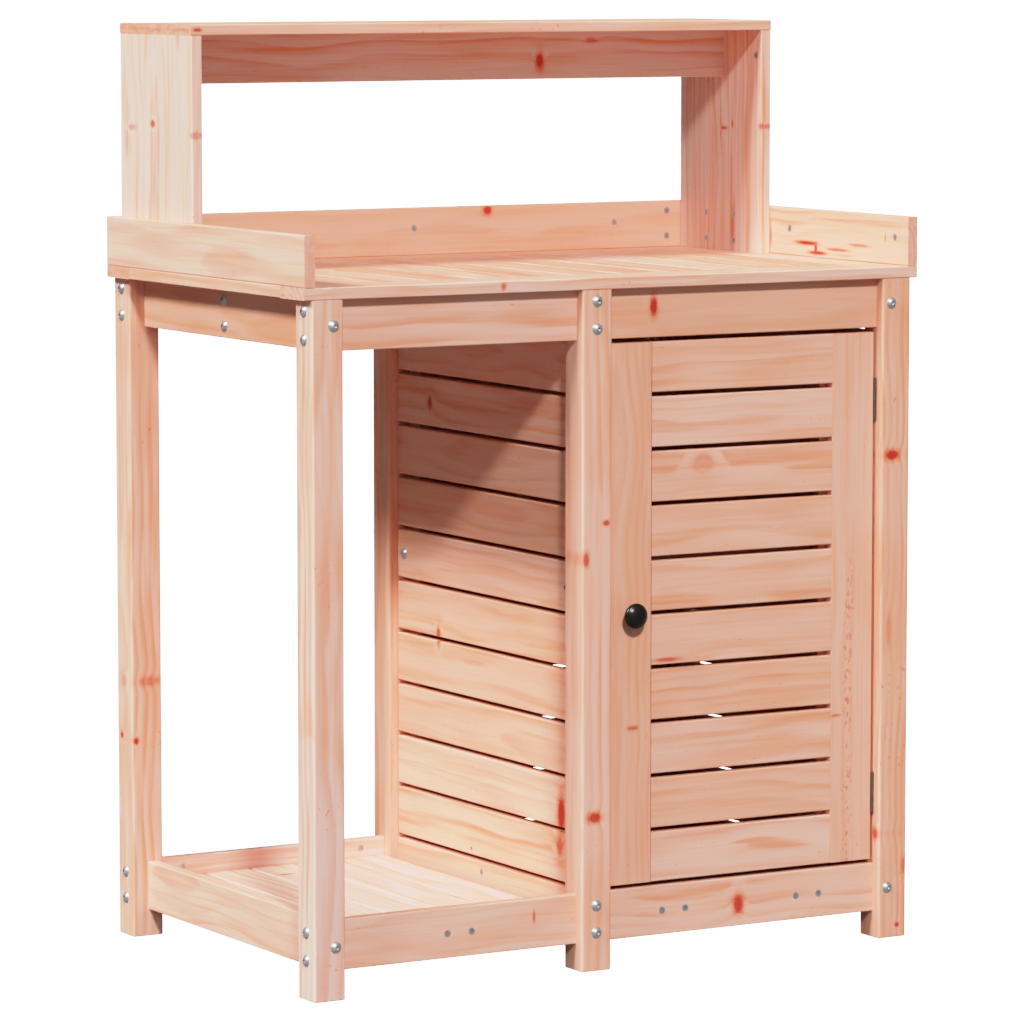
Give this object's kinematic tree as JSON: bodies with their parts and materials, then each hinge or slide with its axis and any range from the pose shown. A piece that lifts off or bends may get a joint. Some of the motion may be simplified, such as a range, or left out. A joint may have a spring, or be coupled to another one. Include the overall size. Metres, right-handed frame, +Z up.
{
  "type": "potting bench",
  "caption": "Wooden potting bench with a slatted worktop, low upstands, a raised shelf at the back, an open bay on the left and a slatted cabinet with one hinged door on the right",
  "frame": {"origin": "on the floor, under the middle of the worktop", "axes": "+X to the right as seen from the front, +Y from the front to the back, +Z up"},
  "size_m": [0.825, 0.5113, 1.095],
  "materials": {
    "softwood": "planed, satin clear finish over pinkish softwood with knots",
    "zinc_steel": "bright zinc plate",
    "dark_hinge": "dark bronze lacquer",
    "black_knob": "gloss black"
  },
  "bodies": {
    "bench": {"back_left_apron": "softwood", "back_left_bottom_rail": "softwood", "back_left_post": "softwood", "back_middle_post": "softwood", "back_panel_battens": "softwood", "back_panel_slats": "softwood", "back_right_apron": "softwood", "back_right_bottom_rail": "softwood", "back_right_post": "softwood", "back_shelf_battens": "softwood", "back_upstand": "softwood", "back_worktop_battens": "softwood", "bench_screws": "zinc_steel", "bolts": "zinc_steel", "divider_battens": "softwood", "divider_slats": "softwood", "front_left_apron": "softwood", "front_left_bottom_rail": "softwood", "front_left_post": "softwood", "front_middle_post": "softwood", "front_right_apron": "softwood", "front_right_bottom_rail": "softwood", "front_right_post": "softwood", "front_shelf_battens": "softwood", "front_worktop_battens": "softwood", "hinge_pins": "dark_hinge", "hinge_post_leaves": "dark_hinge", "hutch_left_side": "softwood", "hutch_rail": "softwood", "hutch_right_side": "softwood", "hutch_top_shelf": "softwood", "inner_shelf_back_rail": "softwood", "inner_shelf_front_rail": "softwood", "inner_shelf_slats": "softwood", "left_apron": "softwood", "left_bottom_rail": "softwood", "left_cross_rail": "softwood", "left_shelf_slats": "softwood", "left_upstand": "softwood", "magnetic_catch": "black_knob", "middle_apron": "softwood", "middle_bottom_rail": "softwood", "right_apron": "softwood", "right_bottom_rail": "softwood", "right_cross_rail": "softwood", "right_panel_battens": "softwood", "right_panel_slats": "softwood", "right_shelf_slats": "softwood", "right_upstand": "softwood", "worktop_back_board": "softwood", "worktop_front_board": "softwood", "worktop_slats": "softwood"},
    "door": {"door_backings": "softwood", "door_left_stile": "softwood", "door_right_stile": "softwood", "door_screws": "zinc_steel", "door_slats": "softwood", "knob": "black_knob", "catch_plate": "zinc_steel", "hinge_door_leaves": "dark_hinge"}
  },
  "joints": [
    {"name": "door_hinge", "type": "hinge", "parent": "bench", "child": "door", "pos_m": [0.3618, -0.2376, 0.4127], "axis": [0, 0, 1], "range_deg": [0, 95]}
  ]
}
